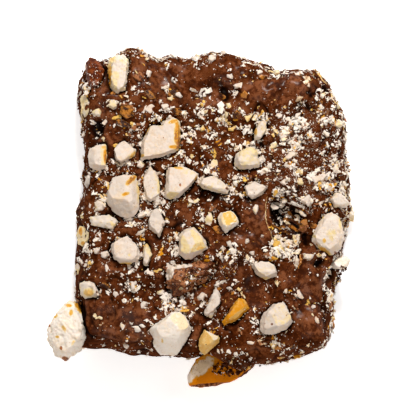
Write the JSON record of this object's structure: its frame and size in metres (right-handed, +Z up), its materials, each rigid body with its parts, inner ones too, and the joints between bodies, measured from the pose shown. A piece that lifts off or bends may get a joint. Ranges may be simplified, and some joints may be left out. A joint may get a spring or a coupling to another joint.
{
  "type": "chocolate coated almond toffee piece",
  "caption": "Rough rectangular slab of chocolate-coated butter toffee, studded with chopped roasted almonds and strewn with almond crumbs, lying on its flat base.",
  "frame": {"origin": "on the flat base, under the middle of the slab", "axes": "+Z up from the base, +Y along the slab's long side towards the end away from the half almond, +X towards the sloping, most nut-encrusted side"},
  "size_m": [0.0617, 0.0685, 0.0163],
  "materials": {
    "chocolate_coating": "satin milk to dark chocolate with a little bloom",
    "roasted_almond": "matt cut almond, cream with toasted patches",
    "golden_almond": "satin toasted almond, golden to amber",
    "almond_skin": "matt to satin red-brown almond skin"
  },
  "bodies": {
    "root": {"toffee_slab": "chocolate_coating", "almond_chunk_crown": "roasted_almond", "almond_chunk_left_high": "roasted_almond", "almond_chunk_small_left": "roasted_almond", "almond_chunk_upright": "roasted_almond", "almond_chunk_middle": "roasted_almond", "almond_chunk_great_left": "roasted_almond", "almond_sliver_middle": "roasted_almond", "almond_sliver_left": "roasted_almond", "almond_chunk_left_edge": "roasted_almond", "almond_chunk_six_sided": "roasted_almond", "almond_chunk_beside": "roasted_almond", "almond_chunk_kite": "roasted_almond", "almond_chunk_golden": "roasted_almond", "almond_chunk_golden_small": "roasted_almond", "almond_chunk_round": "roasted_almond", "almond_chunk_crowned": "roasted_almond", "almond_chunk_slim": "roasted_almond", "almond_chunk_lens": "roasted_almond", "almond_chunk_block": "roasted_almond", "almond_prism_golden": "golden_almond", "almond_wedge_golden": "golden_almond", "almond_chunk_front": "roasted_almond", "almond_flake_upright": "roasted_almond", "almond_coated": "almond_skin", "almond_chunk_corner": "roasted_almond", "almond_half": "golden_almond", "almond_chunk_right": "roasted_almond", "almond_chunk_right_high": "roasted_almond", "almond_chunk_right_low": "roasted_almond", "almond_chunk_top_left": "roasted_almond", "almond_skinned_corner": "almond_skin", "almond_sliver_left_high": "roasted_almond", "almond_chunk_hollow_left": "roasted_almond"}
  },
  "joints": []
}
